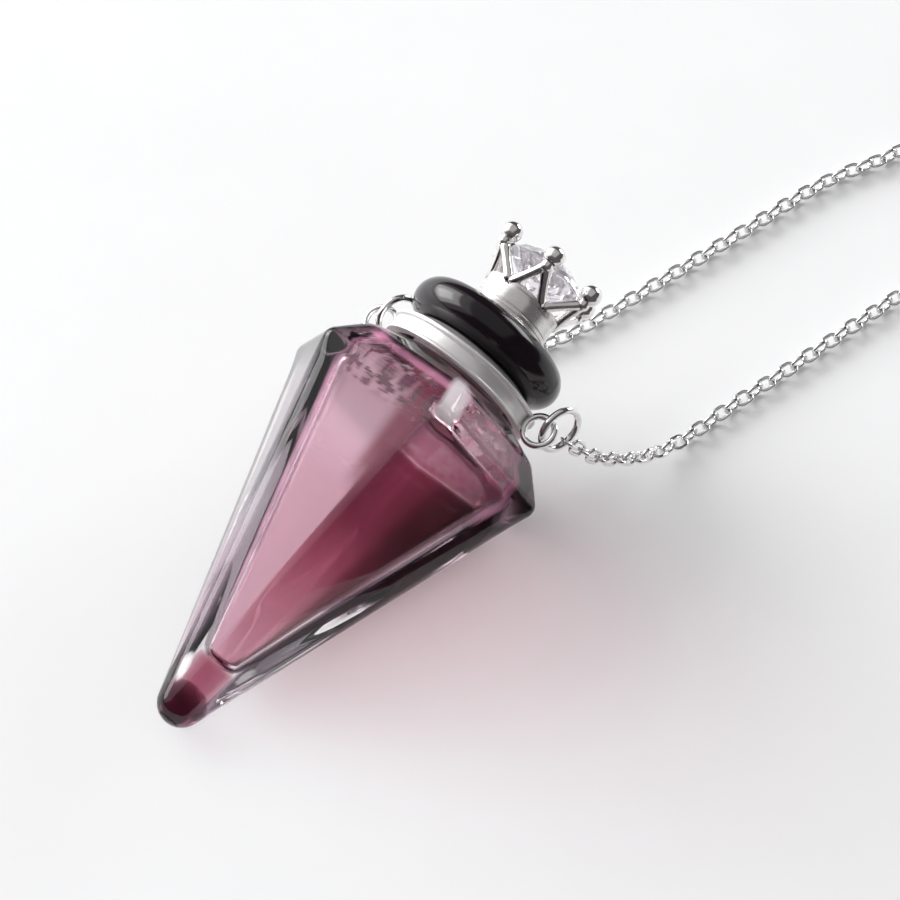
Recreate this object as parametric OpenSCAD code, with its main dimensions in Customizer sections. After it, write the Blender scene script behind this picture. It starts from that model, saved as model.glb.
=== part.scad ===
// Bottle pendant: a six-sided glass vial that lies on one facet, closed by a dark bead
// under a crown with a cut stone, on a closed necklace chain.
// Millimetres, +Z up, surface at z = 0, the pendant's tip towards -Y.

/* [Glass bottle] */
// Width of the bottle across its facets, at the girdle
girdle_flats = 22.4; // [20:0.2:26]
// Length from the tip's end to the girdle
cone_len = 31.5; // [28:0.5:36]
// Radius of the rounded tip
tip_r = 2; // [1.4:0.1:2.6]
// Height of the bevelled band above the girdle
bevel_h = 2.9; // [2.2:0.1:3.6]
// Width across the facets at the top of the bevelled band
shoulder_flats = 17.6; // [16.6:0.2:18.6]
// Height from the top of the bevelled band to the foot of the collar
crest_h = 1.8; // [1.5:0.1:2.4]
// Rounding of the six long edges at the girdle
edge_round = 1.3; // [0.8:0.1:2]
// Thickness of the glass wall
glass_wall = 2.4; // [1.6:0.1:2.8]
// Thickness of solid glass below the hollow
tip_solid = 6.5; // [5:0.5:9]
// Outer radius of the neck
neck_r = 6.1; // [5.8:0.1:6.3]
// Height of the neck inside the collar
neck_h = 1.4; // [1:0.1:1.6]
// Radius of the bore in the neck
bore_r = 3.4; // [3:0.1:3.8]

/* [Collar] */
// Outer radius of the metal band
collar_r = 7.1; // [6.9:0.1:7.6]
// Height of the band with its rim
collar_h = 1.7; // [1.6:0.1:2]
// How far the rim stands out of the band
rim_out = 0.2; // [0.1:0.05:0.4]
// Height of the rim
rim_h = 0.35; // [0.25:0.05:0.5]
// Height of the raised seat above the rim
seat_h = 0.75; // [0.5:0.05:1]
// Middle radius of each ear loop
ear_r = 1.3; // [1.2:0.05:1.5]
// Radius of the ears' wire
ear_wire_r = 0.28; // [0.22:0.02:0.34]

/* [Jump rings and chain] */
// Middle radius of each jump ring
jump_r = 1.85; // [1.75:0.05:2]
// Radius of the jump rings' wire
jump_wire_r = 0.3; // [0.22:0.02:0.34]
// Width of the chain
chain_w = 1.5; // [1.2:0.1:1.8]
// Length of the clasp
clasp_len = 12; // [10:0.5:15]
// Width of the clasp
clasp_w = 4; // [3.5:0.1:5]
// Thickness of the clasp
clasp_t = 1.8; // [1.4:0.1:2.4]
// Middle radius of the rings at the clasp's ends
clasp_eye_r = 1.35; // [1.2:0.05:1.6]
// Radius of those rings' wire
clasp_wire_r = 0.4; // [0.3:0.02:0.5]

/* [Bead and plug] */
// Outer radius of the dark bead
bead_r = 7.3; // [6.8:0.1:7.6]
// Thickness of the bead
bead_t = 3.6; // [3:0.1:4]
// Radius of the pin that holds the bead
pin_r = 1.2; // [0.9:0.1:1.5]
// Length of the plug inside the neck
plug_len = 3.2; // [2.4:0.1:4]
// Length of the plug's pilot hole that holds the pin
pin_grip = 2.2; // [1.6:0.1:2.2]

/* [Crown and stone] */
// Radius of the cap's flange on the bead
flange_r = 3.9; // [3.5:0.1:4.5]
// Height of the flange
flange_h = 0.45; // [0.4:0.05:0.8]
// Radius of the cap's waist
waist_r = 3.35; // [3:0.05:3.6]
// Radius of the crown's base band
crown_base_r = 3.2; // [3:0.1:3.5]
// Height of the cap from the bead to the crown's valleys
cap_h = 2.55; // [2.4:0.05:3.2]
// Height of the crown from its valleys to its ball tips
crown_h = 3.6; // [2.8:0.1:4]
// Radius of the circle through the ball tips
crown_tip_r = 4.8; // [4.6:0.1:5.6]
// Number of crown points
crown_points = 6; // [5:1:7]
// Radius of the crown's bars
bar_r = 0.42; // [0.34:0.02:0.46]
// Radius of the ball tips
ball_r = 0.92; // [0.8:0.02:1]
// Radius of the knob under each ball, where two bars meet
knob_r = 0.56; // [0.5:0.02:0.66]
// How far the knob lies below its ball
knob_drop = 1; // [0.8:0.05:1.2]
// Radius of the cut stone
stone_r = 3.6; // [3:0.1:3.8]
// Height of the stone's upper facets
stone_top = 1.1; // [0.9:0.1:1.5]
// Depth of the stone below its girdle
stone_depth = 2.6; // [1.8:0.1:2.8]
// How far the stone's girdle lies below the ball tips
stone_drop = 0.4; // [0.3:0.1:1]
// Radius of the cup under the stone
cup_r = 2.2; // [2:0.1:2.4]

/* [Hidden] */

// Small gaps between pieces that touch
fit_gap = 0.1;
seat_gap = 0.15;
plug_gap = 0.3;
// How far a cut runs past the piece that it cuts
cut_over = 1;

// Colours as the photo shows them
glass_colour = [0.72, 0.42, 0.56, 0.6];
silver_colour = [0.82, 0.82, 0.84];
bead_colour = [0.05, 0.02, 0.04];
stone_colour = [0.9, 0.92, 0.95, 0.7];
plug_colour = [0.9, 0.9, 0.88];

// The bottle's facets are planes that touch the ball of the tip
girdle_apothem = girdle_flats / 2;
tip_rise = cone_len - tip_r;
facet_tilt = acos(tip_r / norm([girdle_apothem, tip_rise])) - atan2(tip_rise, girdle_apothem);
girdle_height = girdle_apothem * cos(facet_tilt);
apex_z = -tip_rise - tip_r / sin(facet_tilt);
shoulder_apothem = shoulder_flats / 2;
collar_z = bevel_h + crest_h;
crest_r = neck_r + 0.5;
tip_round = tip_r * cos(facet_tilt);

// The hollow follows the facets at the depth of the wall
hollow_apothem = girdle_apothem - glass_wall / cos(facet_tilt);
hollow_floor_z = tip_solid - cone_len;
hollow_top_apothem = shoulder_apothem - glass_wall * 0.95;
hollow_round = 1.2;

// Heights along the pendant's axis, from the girdle
neck_top_z = collar_z + neck_h;
collar_top_z = collar_z + collar_h;
seat_z = collar_top_z + seat_h;
seat_inset = 1.5;
seat_r = collar_r - seat_inset;
bead_z = seat_z + seat_gap;
bead_top_z = bead_z + bead_t;
valley_z = bead_top_z + fit_gap + cap_h;
ball_z = valley_z + crown_h;
stone_z = ball_z - stone_drop;
stone_edge = 0.15;
culet_r = 0.12;
cup_z = stone_z - stone_edge - seat_gap
    - (stone_r - cup_r) / (stone_r - culet_r) * (stone_depth - stone_edge);
plug_r = bore_r - plug_gap;
collar_bore_r = bore_r + 0.05;

// Each ear's loop is buried in the band by half a wire
ear_x = collar_r + ear_r + ear_wire_r / 2;
ear_z = collar_z + collar_h / 2;
// Where each jump ring passes through its ear, as a share of the ear's radius,
// how the ring is tilted there, and the direction of its middle within its own plane
right_hook = [0.34, 0, -0.11];
right_tilt = [0, 99, -12];
right_hang = 144.6;
left_hook = [-0.11, 0, -0.13];
left_tilt = [0, 99, -20];
left_hang = 143.7;

// The clasp lies at the far side of the loop, a little above the surface
clasp_at = [15, 203.6];
clasp_turn = -4;
floor_gap = 0.01;
tube_z = chain_w / 2 + floor_gap;
function clasp_end(side) = let (reach = side * (clasp_len / 2 + chain_w / 4 + seat_gap))
    [clasp_at.x + reach * cos(clasp_turn), clasp_at.y + reach * sin(clasp_turn), tube_z];

// Route of the right-hand strand, from its jump ring to the clasp
right_route = [[10.1, 7.6, 9.5], [10.6, 8.8, 7.9], [11.1, 10, 6.4], [11.6, 11.9, 4.7], [12.1, 14.4, 2.9],
    [12.5, 17.2, 1.5], [12.9, 20.4, 0.8], [13.6, 25.4, tube_z], [14.8, 32, tube_z], [17.2, 46, tube_z],
    [19.5, 55, tube_z], [24, 67, tube_z], [31, 81, tube_z], [49, 112, tube_z], [55, 130, tube_z],
    [57, 149, tube_z], [54, 168, tube_z], [46, 185, tube_z], [35, 197, tube_z], clasp_end(1)];
// Route of the left-hand strand, from its jump ring under the bead to the clasp
left_route = [[-7.7, 7.1, 9.45], [-8.1, 9.1, 6.1], [-7.7, 10.3, 4.2], [-6.8, 11.9, 2.4], [-5.6, 14, 1.2],
    [-4.3, 16.5, 0.8], [-2.7, 19.4, tube_z], [-1, 25, tube_z], [2.2, 41, tube_z], [4, 50, tube_z],
    [6.6, 57, tube_z], [8.6, 66, tube_z], [1, 96, tube_z], [-8, 113, tube_z], [-16, 131, tube_z],
    [-19, 150, tube_z], [-17, 169, tube_z], [-11, 185, tube_z], [-2, 198, tube_z], clasp_end(-1)];

// A ring of points round a six-sided section whose corners are rounded
corner_steps = 4;
function hex_ring(z, apothem, round) = [
    for (side = [0:5], step = [0:corner_steps])
        let (r = min(round, apothem * 0.999),
             reach = (apothem - r) / cos(30),
             turn = 60 * side - 30 + 60 * step / corner_steps)
        [reach * cos(60 * side) + r * cos(turn), reach * sin(60 * side) + r * sin(turn), z]];

// A closed solid through rings of equal point counts, from the lowest up
module loft(rings) {
    count = len(rings[0]);
    last = len(rings) - 1;
    polyhedron(
        points = [for (ring = rings) each ring],
        faces = concat(
            [[for (i = [0:count - 1]) i]],
            [for (k = [0:last - 1], i = [0:count - 1])
                [(k + 1) * count + i, (k + 1) * count + (i + 1) % count, k * count + (i + 1) % count]],
            [for (k = [0:last - 1], i = [0:count - 1])
                [(k + 1) * count + i, k * count + (i + 1) % count, k * count + i]],
            [[for (i = [count - 1:-1:0]) last * count + i]]));
}

// Points of a bend that rounds the corner b between a and c
bend_steps = 3;
function bend(a, b, c, reach) =
    let (p = b + (a - b) / norm(a - b) * reach, q = b + (c - b) / norm(c - b) * reach)
    [for (i = [0:bend_steps]) let (t = i / bend_steps)
        (1 - t) * (1 - t) * p + 2 * t * (1 - t) * b + t * t * q];

// Profile rows: height, apothem, rounding of the corners
function facet_apothem(z) = (z - apex_z) * tan(facet_tilt);
tip_angles = [-80, -60, -38];
cone_shares = [0, 0.12, 0.3, 0.55, 0.8];
foot_z = -tip_rise - tip_r * sin(facet_tilt);
function cone_round(share) = edge_round + (tip_round - edge_round) * (1 - share) * (1 - share);
outer_rows = concat(
    [for (a = tip_angles) [-tip_rise + tip_r * sin(a), tip_r * cos(a), tip_r * cos(a)]],
    [for (s = cone_shares) [foot_z - foot_z * s, facet_apothem(foot_z - foot_z * s), cone_round(s)]],
    bend([foot_z, tip_round, edge_round], [0, girdle_apothem, edge_round],
         [bevel_h, shoulder_apothem, edge_round], 0.8),
    bend([0, girdle_apothem, edge_round], [bevel_h, shoulder_apothem, edge_round * 1.6],
         [collar_z - 0.3, crest_r, crest_r], 0.7),
    [[collar_z - 0.3, crest_r, crest_r]]);

// The same for the hollow, whose floor is a small dome
floor_apothem = max(facet_apothem(hollow_floor_z + 1) - glass_wall / cos(facet_tilt), 0.8);
hollow_mid_z = hollow_floor_z * 0.45;
function hollow_at(z) = facet_apothem(z) - glass_wall / cos(facet_tilt);
hollow_rows = concat(
    [for (a = [-75, -45, -15]) [hollow_floor_z + floor_apothem * (1 + sin(a)),
        floor_apothem * cos(a), floor_apothem * cos(a)]],
    [[hollow_mid_z, hollow_at(hollow_mid_z), hollow_round]],
    bend([hollow_mid_z, hollow_at(hollow_mid_z), hollow_round], [-0.3, hollow_apothem, hollow_round],
         [bevel_h - glass_wall * 0.45, hollow_top_apothem, hollow_round], 0.8),
    bend([-0.3, hollow_apothem, hollow_round],
         [bevel_h - glass_wall * 0.45, hollow_top_apothem, hollow_round],
         [collar_z - glass_wall * 0.5, bore_r + 0.4, bore_r + 0.4], 0.7),
    [[collar_z - glass_wall * 0.5, bore_r + 0.4, bore_r + 0.4]]);

// Stands a shape of the pendant's own axis on the bottle's lower facet
module lying() {
    translate([0, 0, girdle_height]) rotate([facet_tilt - 90, 0, 0]) children();
}

module torus(middle_r, wire_r) {
    rotate_extrude($fn = 72) translate([middle_r, 0]) circle(wire_r, $fn = 32);
}

module bar(a, b, r) {
    run = b - a;
    translate(a) rotate([0, atan2(norm([run.x, run.y]), run.z), atan2(run.y, run.x)])
        cylinder(h = norm(run), r = r, $fn = 32);
}

// A smooth curve through hand-chosen points, and the tube that follows it
route_steps = 2;
tube_sides = 8;
function spline(a, b, c, d, t) = 0.5 * (2 * b + (c - a) * t + (2 * a - 5 * b + 4 * c - d) * t * t
    + (3 * b - a - 3 * c + d) * t * t * t);
function smooth(route) = let (n = len(route) - 1) concat(
    [for (i = [0:n - 1], s = [0:route_steps - 1])
        spline(route[max(i - 1, 0)], route[i], route[i + 1], route[min(i + 2, n)], s / route_steps)],
    [route[n]]);
function unit(v) = v / norm(v);
module tube(route, r) {
    path = smooth(route);
    n = len(path) - 1;
    loft([for (i = [0:n])
        let (ahead = unit(path[min(i + 1, n)] - path[max(i - 1, 0)]),
             side = unit(cross(ahead, abs(ahead.z) > 0.8 ? [0, 1, 0] : [0, 0, 1])),
             top = cross(side, ahead))
        [for (k = [0:tube_sides - 1]) let (turn = 360 * (k + 0.5) / tube_sides)
            path[i] + r * (cos(turn) * side + sin(turn) * top)]]);
}

module bottle() {
    color(glass_colour) lying() difference() {
        union() {
            loft([for (row = outer_rows) hex_ring(row[0], row[1], row[2])]);
            translate([0, 0, bevel_h]) cylinder(h = neck_top_z - bevel_h, r = neck_r, $fn = 96);
        }
        loft([for (row = hollow_rows) hex_ring(row[0], row[1], row[2])]);
        translate([0, 0, bevel_h - glass_wall * 0.6])
            cylinder(h = neck_top_z + cut_over - bevel_h + glass_wall * 0.6, r = bore_r, $fn = 96);
    }
}

module collar() {
    color(silver_colour) lying() difference() {
        union() {
            rotate_extrude($fn = 120) polygon([
                [neck_r + fit_gap, collar_z], [collar_r, collar_z], [collar_r, collar_top_z - rim_h],
                [collar_r + rim_out, collar_top_z - rim_h], [collar_r + rim_out, collar_top_z],
                [seat_r, seat_z], [collar_bore_r, seat_z],
                [collar_bore_r, neck_top_z + fit_gap], [neck_r + fit_gap, neck_top_z + fit_gap]]);
            for (side = [-1, 1])
                translate([side * ear_x, 0, ear_z]) rotate([90, 0, 0]) torus(ear_r, ear_wire_r);
        }
        // Clears the ears' wire from the inside of the band
        translate([0, 0, collar_z - cut_over])
            cylinder(h = neck_h + fit_gap + cut_over, r = neck_r + fit_gap, $fn = 120);
    }
}

module jump_ring(side, hook, tilt, hang) {
    color(silver_colour) lying() translate([side * ear_x, 0, ear_z] + ear_r * hook)
        rotate(tilt) rotate([0, 0, hang]) translate([jump_r, 0, 0]) torus(jump_r, jump_wire_r);
}

module chain(route) {
    color(silver_colour) tube(route, chain_w / 2);
}

module clasp() {
    ring_x = clasp_len / 2 - clasp_eye_r - clasp_wire_r;
    arm = ring_x - clasp_eye_r;
    color(silver_colour) translate([clasp_at.x, clasp_at.y, floor_gap]) rotate([0, 0, clasp_turn]) {
        hull() for (side = [-1, 1])
            translate([side * (arm - clasp_w * 0.3), 0, 0]) cylinder(h = clasp_t, d = clasp_w * 0.6, $fn = 64);
        cylinder(h = clasp_t, d = clasp_w, $fn = 64);
        for (side = [-1, 1])
            translate([side * ring_x, 0, clasp_t / 2]) torus(clasp_eye_r, clasp_wire_r);
    }
}

module plug() {
    color(plug_colour) lying() difference() {
        translate([0, 0, bead_z - seat_gap - plug_len]) cylinder(h = plug_len, r = plug_r, $fn = 96);
        translate([0, 0, bead_z - seat_gap - pin_grip])
            cylinder(h = pin_grip + cut_over, r = pin_r + fit_gap, $fn = 64);
    }
}

module disc_bead() {
    rim = bead_t / 2;
    color(bead_colour) lying() translate([0, 0, bead_z + rim]) difference() {
        rotate_extrude($fn = 144) difference() {
            union() {
                translate([bead_r - rim, 0]) circle(rim, $fn = 96);
                translate([0, -rim]) square([bead_r - rim, bead_t]);
            }
            translate([-bead_r, -bead_t]) square([bead_r, 2 * bead_t]);
        }
        translate([0, 0, -bead_t]) cylinder(h = 2 * bead_t, r = pin_r + fit_gap, $fn = 64);
    }
}

module crown_cap() {
    cap_z = bead_top_z + fit_gap;
    step = 360 / crown_points;
    // A ball tip stands above the facet that faces up, a little off the middle
    crown_turn = 50;
    knob_z = ball_z - knob_drop;
    color(silver_colour) lying() {
        rotate_extrude($fn = 120) polygon([
            [0, cap_z], [flange_r, cap_z], [flange_r, cap_z + flange_h],
            [waist_r + 0.25, cap_z + flange_h], [waist_r, cap_z + cap_h * 0.5],
            [crown_base_r + bar_r, valley_z + bar_r], [crown_base_r - bar_r, valley_z + bar_r],
            [cup_r - 0.3, cap_z + cap_h * 0.8], [cup_r, cup_z], [cup_r - 0.35, cup_z - 0.35],
            [cup_r - 0.8, cap_z + cap_h * 0.8], [0, cap_z + cap_h * 0.75]]);
        translate([0, 0, bead_z - seat_gap - pin_grip + fit_gap])
            cylinder(h = cap_z - bead_z + seat_gap + pin_grip, r = pin_r, $fn = 64);
        for (i = [0:crown_points - 1]) let (turn = crown_turn + i * step,
            tip = [crown_tip_r * cos(turn), crown_tip_r * sin(turn), ball_z], knob = [tip.x, tip.y, knob_z]) {
            translate(tip) sphere(ball_r, $fn = 40);
            translate(knob) sphere(knob_r, $fn = 32);
            for (side = [-0.5, 0.5]) let (foot = turn + side * step)
                bar([crown_base_r * cos(foot), crown_base_r * sin(foot), valley_z], knob, bar_r);
        }
    }
}

module crown_stone() {
    color(stone_colour) lying() translate([0, 0, stone_z]) hull() {
        translate([0, 0, stone_top - 0.01]) rotate([0, 0, 22.5]) cylinder(h = 0.01, r = stone_r * 0.58, $fn = 8);
        translate([0, 0, stone_top * 0.55]) cylinder(h = 0.01, r = stone_r * 0.84, $fn = 8);
        translate([0, 0, -stone_edge]) rotate([0, 0, 11.25]) cylinder(h = stone_edge, r = stone_r, $fn = 16);
        translate([0, 0, -stone_depth]) rotate([0, 0, 22.5]) cylinder(h = 0.01, r = culet_r, $fn = 8);
    }
}

bottle();
collar();
jump_ring(1, right_hook, right_tilt, right_hang);  // jump_ring_right
jump_ring(-1, left_hook, left_tilt, left_hang);  // jump_ring_left
chain(right_route);  // chain_right
chain(left_route);  // chain_left
clasp();
plug();
disc_bead();
crown_cap();
crown_stone();
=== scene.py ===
"""Bottle pendant: a rose glass vial under a silver collar, a dark bead and a crown with a stone.

Lengths are in metres, +Z is up and the surface is at z = 0. The pendant's own axis starts at the
middle of its girdle and rises towards the crown.
"""
import math

import bmesh
import bpy
from mathutils import Matrix, Vector, noise


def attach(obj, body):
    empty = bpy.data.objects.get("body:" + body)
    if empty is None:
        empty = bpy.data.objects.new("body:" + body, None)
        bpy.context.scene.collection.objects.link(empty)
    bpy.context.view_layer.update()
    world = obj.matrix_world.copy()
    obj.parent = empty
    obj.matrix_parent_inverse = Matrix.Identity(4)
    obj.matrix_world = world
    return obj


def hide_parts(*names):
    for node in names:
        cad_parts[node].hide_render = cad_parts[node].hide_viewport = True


bl_info = {
    "name": "Bottle pendant",
    "version": (1, 0, 0),
    "blender": (4, 5, 0),
    "location": "View3D > Sidebar > Pendant",
    "description": "Dresses the bottle pendant and sets its studio",
    "category": "Object",
}

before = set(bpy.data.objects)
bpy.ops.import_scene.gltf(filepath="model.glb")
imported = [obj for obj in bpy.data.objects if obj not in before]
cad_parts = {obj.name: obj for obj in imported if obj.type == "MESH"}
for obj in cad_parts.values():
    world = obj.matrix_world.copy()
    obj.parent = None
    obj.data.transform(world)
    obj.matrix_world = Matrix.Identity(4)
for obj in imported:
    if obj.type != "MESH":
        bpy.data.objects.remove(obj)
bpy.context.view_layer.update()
MM = 0.001


def length(name, description, default):
    """A setting that is a length."""
    return bpy.props.FloatProperty(name=name, description=description, default=default,
                                   subtype="DISTANCE", unit="LENGTH")


def angle(name, description, default):
    """A setting that is an angle, with its default in degrees."""
    return bpy.props.FloatProperty(name=name, description=description,
                                   default=math.radians(default), subtype="ANGLE", unit="ROTATION")


def colour(name, description, default):
    """A setting that is a colour."""
    return bpy.props.FloatVectorProperty(name=name, description=description, default=default,
                                         subtype="COLOR", size=3, min=0, max=1)


class VialSettings(bpy.types.PropertyGroup):
    """Sizes and colours of the glass vial."""

    girdle_flats: length("Girdle width", "Width across the facets at the girdle", 22.4 * MM)
    cone_len: length("Cone length", "From the tip's end to the girdle", 31.5 * MM)
    tip_r: length("Tip radius", "Radius of the rounded tip", 2 * MM)
    bevel_h: length("Bevel height", "Height of the bevelled band above the girdle", 2.9 * MM)
    shoulder_flats: length(
        "Shoulder width", "Width across the facets at the top of the bevel", 17.6 * MM)
    crest_h: length("Crest height", "From the top of the bevel to the foot of the collar", 1.8 * MM)
    wall: length("Wall", "Thickness of the glass wall", 2.4 * MM)
    tip_solid: length("Solid tip", "Thickness of solid glass below the hollow", 6.5 * MM)
    clear_colour: colour("Clear glass", "Tint of the outer glass", (0.97, 0.95, 0.965))
    rose_colour: colour("Rose glass", "Tint of the inner layer of glass", (0.8, 0.46, 0.56))
    rose_shade: colour(
        "Rose shade", "Tint of the light that the inner glass lets through", (0.86, 0.72, 0.74))


class StudioSettings(bpy.types.PropertyGroup):
    """Camera and surface."""

    azimuth: angle("Azimuth", "Camera's angle round the pendant", 41.58)
    elevation: angle("Elevation", "Camera's angle above the surface", 52.68)
    distance: length("Distance", "From the camera to the middle of the girdle", 320 * MM)
    lens: bpy.props.FloatProperty(
        name="Lens", description="Focal length in millimetres", default=157.44)
    floor_colour: colour("Surface", "Colour of the pale surface", (0.86, 0.865, 0.87))


def vial():
    """The vial's settings."""
    return bpy.context.scene.pendant_vial


def studio():
    """The studio's settings."""
    return bpy.context.scene.pendant_studio


def facet_tilt():
    """Angle between the pendant's axis and the surface that its lower facet lies on."""
    v = vial()
    reach = v.girdle_flats / 2
    rise = v.cone_len - v.tip_r
    return math.acos(v.tip_r / math.hypot(reach, rise)) - math.atan2(rise, reach)


def axis_frame():
    """From the pendant's own axis to the row frame."""
    tilt = facet_tilt()
    height = vial().girdle_flats / 2 * math.cos(tilt)
    return Matrix.Translation((0, 0, height)) @ Matrix.Rotation(tilt - math.pi / 2, 4, "X")


def piece(name, mesh, finish, body, slot, *nodes):
    """Links a mesh as a piece of the pendant that rides on a body and may stand for nodes."""
    made = bpy.data.objects.new(name, mesh)
    bpy.context.scene.collection.objects.link(made)
    made.data.materials.append(finish)
    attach(made, body)
    if nodes:
        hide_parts(*nodes)
    return made


def mesh_of(name, points, faces, smooth=True):
    """A checked mesh from points and faces."""
    mesh = bpy.data.meshes.new(name)
    mesh.from_pydata(points, [], faces)
    mesh.validate()
    if smooth:
        mesh.shade_smooth()
    mesh.update()
    return mesh


# Node helpers

def material(name):
    """A new material with its Principled shader and its output."""
    made = bpy.data.materials.new(name)
    made.use_nodes = True
    tree = made.node_tree
    shader = next(n for n in tree.nodes if n.type == "BSDF_PRINCIPLED")
    output = next(n for n in tree.nodes if n.type == "OUTPUT_MATERIAL")
    return made, tree, shader, output


def node(tree, kind, inputs=None, **settings):
    """A new node with its settings and the values of its inputs."""
    made = tree.nodes.new(kind)
    for key, value in settings.items():
        setattr(made, key, value)
    for key, value in (inputs or {}).items():
        made.inputs[key].default_value = value
    return made


def mix_shaders(tree, factor, first, second, output):
    """Shows first where factor is 0 and second where it is 1."""
    mix = node(tree, "ShaderNodeMixShader")
    tree.links.new(factor, mix.inputs["Fac"])
    tree.links.new(first.outputs[0], mix.inputs[1])
    tree.links.new(second.outputs[0], mix.inputs[2])
    tree.links.new(mix.outputs["Shader"], output.inputs["Surface"])


def group_tree(name, inputs, outputs):
    """A node group with named sockets: name, kind and default value of each."""
    tree = bpy.data.node_groups.new(name, "ShaderNodeTree")
    for label, kind, value in inputs:
        socket = tree.interface.new_socket(name=label, in_out="INPUT", socket_type=kind)
        socket.default_value = value
    for label, kind in outputs:
        tree.interface.new_socket(name=label, in_out="OUTPUT", socket_type=kind)
    return tree, tree.nodes.new("NodeGroupInput"), tree.nodes.new("NodeGroupOutput")


def surface_wear():
    """Fine scratches and a hand-polished unevenness, for every polished piece."""
    name = "Polished wear"
    if name in bpy.data.node_groups:
        return bpy.data.node_groups[name]
    tree, inputs, outputs = group_tree(
        name,
        [("Scale", "NodeSocketFloat", 900.0), ("Smooth", "NodeSocketFloat", 0.05),
         ("Dull", "NodeSocketFloat", 0.2), ("Relief", "NodeSocketFloat", 0.1)],
        [("Roughness", "NodeSocketFloat"), ("Normal", "NodeSocketVector")])
    link = tree.links.new
    place = node(tree, "ShaderNodeTexCoord")
    blotches = node(tree, "ShaderNodeTexNoise", {"Detail": 4.0, "Roughness": 0.6})
    link(place.outputs["Object"], blotches.inputs["Vector"])
    link(inputs.outputs["Scale"], blotches.inputs["Scale"])
    spread = node(tree, "ShaderNodeMapRange", {"From Min": 0.42, "From Max": 0.75})
    link(blotches.outputs["Fac"], spread.inputs["Value"])
    link(inputs.outputs["Smooth"], spread.inputs["To Min"])
    link(inputs.outputs["Dull"], spread.inputs["To Max"])
    link(spread.outputs["Result"], outputs.inputs["Roughness"])
    bump = node(tree, "ShaderNodeBump", {"Distance": 0.00003})
    link(blotches.outputs["Fac"], bump.inputs["Height"])
    link(inputs.outputs["Relief"], bump.inputs["Strength"])
    link(bump.outputs["Normal"], outputs.inputs["Normal"])
    return tree


def use_group(tree, group, **values):
    """Places a node group in a tree with its own values."""
    made = tree.nodes.new("ShaderNodeGroup")
    made.node_tree = group
    for key, value in values.items():
        made.inputs[key].default_value = value
    return made


def wear_shader(tree, shader, scale, smooth, dull, relief):
    """Gives a shader the wear's roughness and relief."""
    wear = use_group(tree, surface_wear(), Scale=scale, Smooth=smooth, Dull=dull, Relief=relief)
    tree.links.new(wear.outputs["Roughness"], shader.inputs["Roughness"])
    tree.links.new(wear.outputs["Normal"], shader.inputs["Normal"])


def drifting_tone():
    """A colour that drifts between two near tones, for the surface and the plug."""
    name = "Drifting tone"
    if name in bpy.data.node_groups:
        return bpy.data.node_groups[name]
    tree, inputs, outputs = group_tree(
        name,
        [("Scale", "NodeSocketFloat", 700.0), ("Tone", "NodeSocketColor", (0.8, 0.8, 0.8, 1)),
         ("Other", "NodeSocketColor", (0.7, 0.7, 0.7, 1))],
        [("Color", "NodeSocketColor")])
    link = tree.links.new
    place = node(tree, "ShaderNodeTexCoord")
    clouds = node(tree, "ShaderNodeTexNoise", {"Detail": 5.0, "Roughness": 0.62})
    link(place.outputs["Object"], clouds.inputs["Vector"])
    link(inputs.outputs["Scale"], clouds.inputs["Scale"])
    share = node(tree, "ShaderNodeMapRange", {"From Min": 0.35, "From Max": 0.68})
    link(clouds.outputs["Fac"], share.inputs["Value"])
    tone = mix_colours(tree, share.outputs["Result"], inputs.outputs["Tone"], inputs.outputs["Other"])
    link(tone, outputs.inputs["Color"])
    return tree


def mottle(tree, shader, first, other, scale):
    """Lets a shader's colour drift between two near tones."""
    tone = use_group(tree, drifting_tone(), Scale=scale, Tone=(*first, 1), Other=(*other, 1))
    tree.links.new(tone.outputs["Color"], shader.inputs["Base Color"])


def light_ray(tree):
    """1 for rays that only gather light: shadow rays and diffuse rays."""
    path = node(tree, "ShaderNodeLightPath")
    return math_node(tree, "MAXIMUM", path.outputs["Is Shadow Ray"], path.outputs["Is Diffuse Ray"])


def glass_material(name, tone, ior, roughness=0.0, shade=(1, 1, 1), lying=False, clarity=1):
    """Clear glass with a shadow tinted by shade, and by more below a lying vial."""
    made, tree, shader, output = material(name)
    shader.inputs["Base Color"].default_value = (*tone, 1)
    shader.inputs["Roughness"].default_value = roughness
    shader.inputs["IOR"].default_value = ior
    shader.inputs["Transmission Weight"].default_value = clarity
    passing = node(tree, "ShaderNodeBsdfTransparent", {"Color": (*shade, 1)})
    if lying:
        tree.links.new(underside_shade(tree, shade), passing.inputs["Color"])
    mix_shaders(tree, light_ray(tree), shader, passing, output)
    return made


def math_node(tree, operation, first, second):
    """A math node; each input is a number or a socket."""
    made = node(tree, "ShaderNodeMath", operation=operation)
    for socket, value in zip(made.inputs, (first, second)):
        if isinstance(value, (int, float)):
            socket.default_value = value
        else:
            tree.links.new(value, socket)
    return made.outputs[0]


def ramp_node(tree, factor, stops):
    """A colour ramp through stops of position and colour."""
    made = node(tree, "ShaderNodeValToRGB")
    tree.links.new(factor, made.inputs["Fac"])
    elements = made.color_ramp.elements
    while len(elements) < len(stops):
        elements.new(0.5)
    for element, (position, tone) in zip(elements, stops):
        element.position = position
        element.color = (*tone, 1)
    return made.outputs["Color"]


def mix_colours(tree, factor, first, second, mode="MIX"):
    """A colour mix; each colour is a constant or a socket."""
    made = node(tree, "ShaderNodeMix", data_type="RGBA", blend_type=mode)
    if isinstance(factor, (int, float)):
        made.inputs[0].default_value = factor
    else:
        tree.links.new(factor, made.inputs[0])
    for socket, value in ((made.inputs[6], first), (made.inputs[7], second)):
        if isinstance(value, tuple):
            socket.default_value = (*value, 1)
        else:
            tree.links.new(value, socket)
    return made.outputs[2]


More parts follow.
